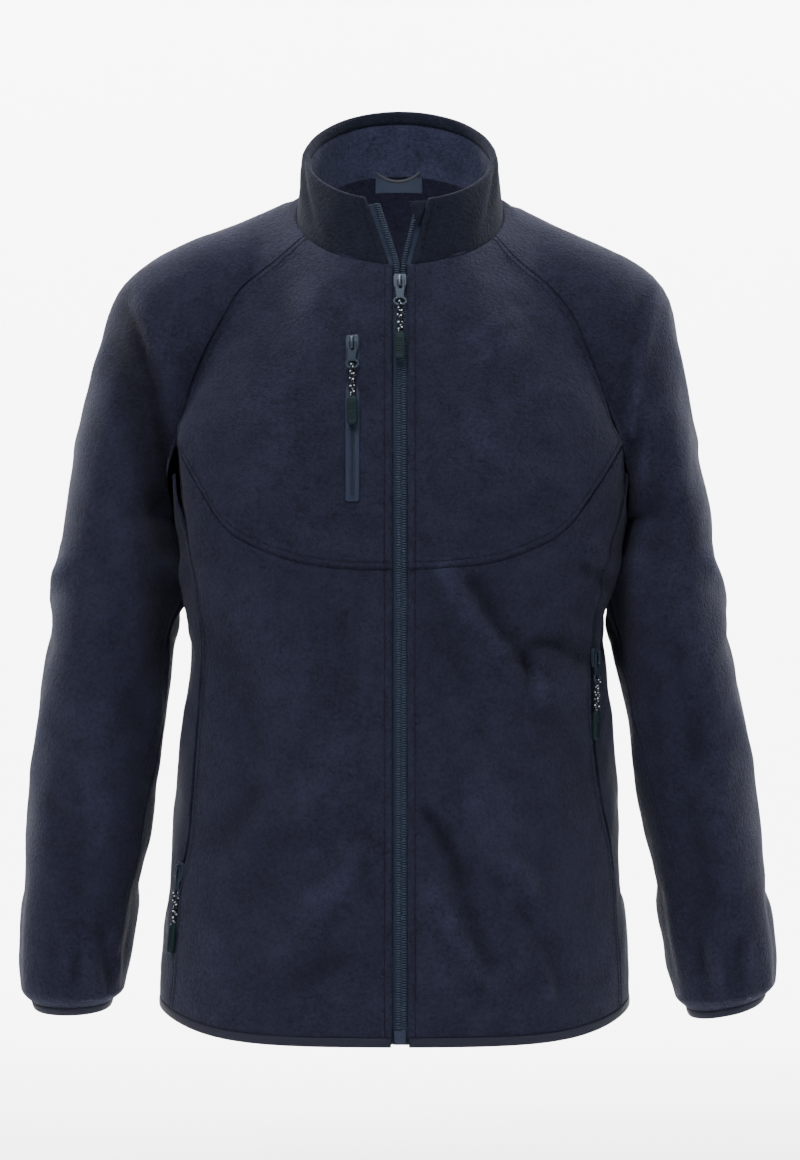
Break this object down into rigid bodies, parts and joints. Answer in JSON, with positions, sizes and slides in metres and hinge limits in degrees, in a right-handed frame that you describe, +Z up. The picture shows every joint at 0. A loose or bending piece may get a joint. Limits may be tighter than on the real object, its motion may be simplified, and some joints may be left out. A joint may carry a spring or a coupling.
{
  "type": "fleece zip jacket",
  "caption": "Fleece jacket with raglan sleeves, stand collar opened in a V, full front zip, zipped chest and hand pockets, filled out with no wearer.",
  "frame": {"origin": "inside the neck opening, on the middle plane of the body, at the height of the shoulder side of the collar seam", "axes": "+X towards the wearer's left, -Y out of the front, +Z up along the body"},
  "size_m": [0.6298, 0.2577, 0.7676],
  "materials": {
    "fleece": "napped fleece, matt navy",
    "binding": "knitted stretch binding",
    "zip_tape": "woven polyester tape, slate blue",
    "metal": "slate blue enamel",
    "pull_cord": "braided cord, dark with pale flecks",
    "pull_grip": "satin moulded grip",
    "loop": "woven cord",
    "label": "woven satin, left bare"
  },
  "bodies": {
    "jacket": {"chest_right": "fleece", "front_right": "fleece", "side_right": "fleece", "sleeve_right": "fleece", "chest_left": "fleece", "front_left": "fleece", "side_left": "fleece", "sleeve_left": "fleece", "back": "fleece", "collar_outer": "fleece", "collar_inner": "fleece", "chin_guard": "fleece", "hem_binding": "binding", "cuff_binding_right": "binding", "front_tape_right": "zip_tape", "pocket_tape_right": "zip_tape", "cuff_binding_left": "binding", "front_tape_left": "zip_tape", "pocket_tape_left": "zip_tape", "zip_box": "metal", "chest_tape": "zip_tape", "hanger_loop": "loop", "neck_label": "label", "front_slider": "metal", "chest_slider": "metal", "pocket_right_slider": "metal", "pocket_left_slider": "metal"},
    "front_pull": {"front_tab": "metal", "front_cord": "pull_cord", "front_grip": "pull_grip"},
    "chest_pull": {"chest_tab": "metal", "chest_cord": "pull_cord", "chest_grip": "pull_grip"},
    "pocket_right_pull": {"pocket_right_tab": "metal", "pocket_right_cord": "pull_cord", "pocket_right_grip": "pull_grip"},
    "pocket_left_pull": {"pocket_left_tab": "metal", "pocket_left_cord": "pull_cord", "pocket_left_grip": "pull_grip"}
  },
  "joints": [
    {"name": "front_pull_swing", "type": "hinge", "parent": "jacket", "child": "front_pull", "pos_m": [0, -0.09911, -0.06923], "axis": [-1, -0.0001, 0], "range_deg": [0, 150]},
    {"name": "chest_pull_swing", "type": "hinge", "parent": "jacket", "child": "chest_pull", "pos_m": [-0.03829, -0.11553, -0.11979], "axis": [-0.9954, 0.0929, -0.0246], "range_deg": [0, 150]},
    {"name": "pocket_right_pull_swing", "type": "hinge", "parent": "jacket", "child": "pocket_right_pull", "pos_m": [-0.18006, -0.06269, -0.54568], "axis": [-0.5002, 0.8648, 0.0438], "range_deg": [0, 150]},
    {"name": "pocket_left_pull_swing", "type": "hinge", "parent": "jacket", "child": "pocket_left_pull", "pos_m": [0.16033, -0.06798, -0.37171], "axis": [-0.5273, -0.84, 0.1279], "range_deg": [0, 150]}
  ]
}
